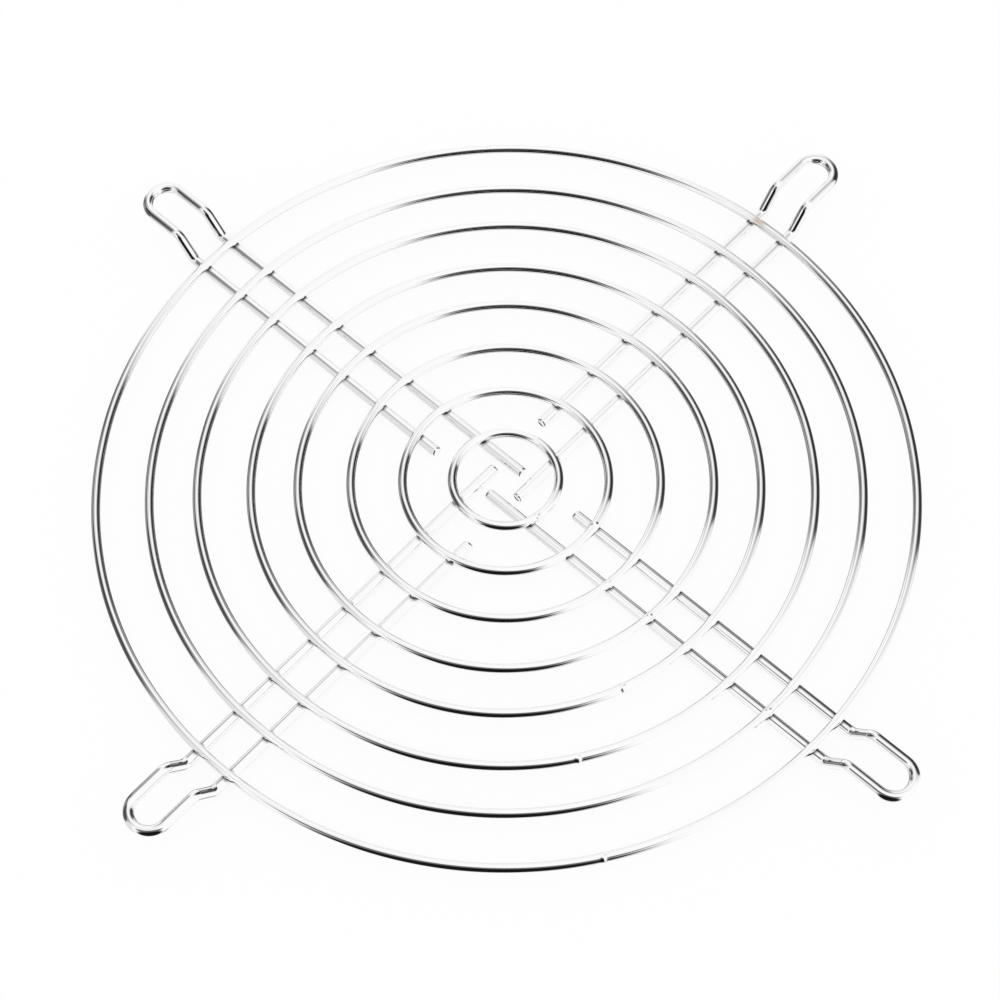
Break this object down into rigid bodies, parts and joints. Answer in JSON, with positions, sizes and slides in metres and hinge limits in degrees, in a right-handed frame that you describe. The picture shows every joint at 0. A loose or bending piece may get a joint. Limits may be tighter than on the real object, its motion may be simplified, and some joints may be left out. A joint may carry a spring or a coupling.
{
  "type": "wire fan guard",
  "caption": "Round finger guard of concentric wire rings welded on hairpin support wires, whose raised end loops take the screws of an axial fan.",
  "frame": {"origin": "middle of the guard, on the plane that the support wires lie on", "axes": "+Z is the axis of the rings, from the support wires towards the rings and the fan; support wires 1 to 4 point along +X, +Y, -X and -Y"},
  "size_m": [0.1562, 0.1562, 0.0057],
  "materials": {
    "ring_wire": "bright plated wire, with faint drawing marks",
    "support_wire": "bright plated wire, with faint drawing marks and tool marks at its bends"
  },
  "bodies": {
    "root": {"ring_1": "ring_wire", "ring_2": "ring_wire", "ring_3": "ring_wire", "ring_4": "ring_wire", "ring_5": "ring_wire", "ring_6": "ring_wire", "ring_7": "ring_wire", "ring_8": "ring_wire", "support_wire_1": "support_wire", "support_wire_2": "support_wire", "support_wire_3": "support_wire", "support_wire_4": "support_wire"}
  },
  "joints": []
}
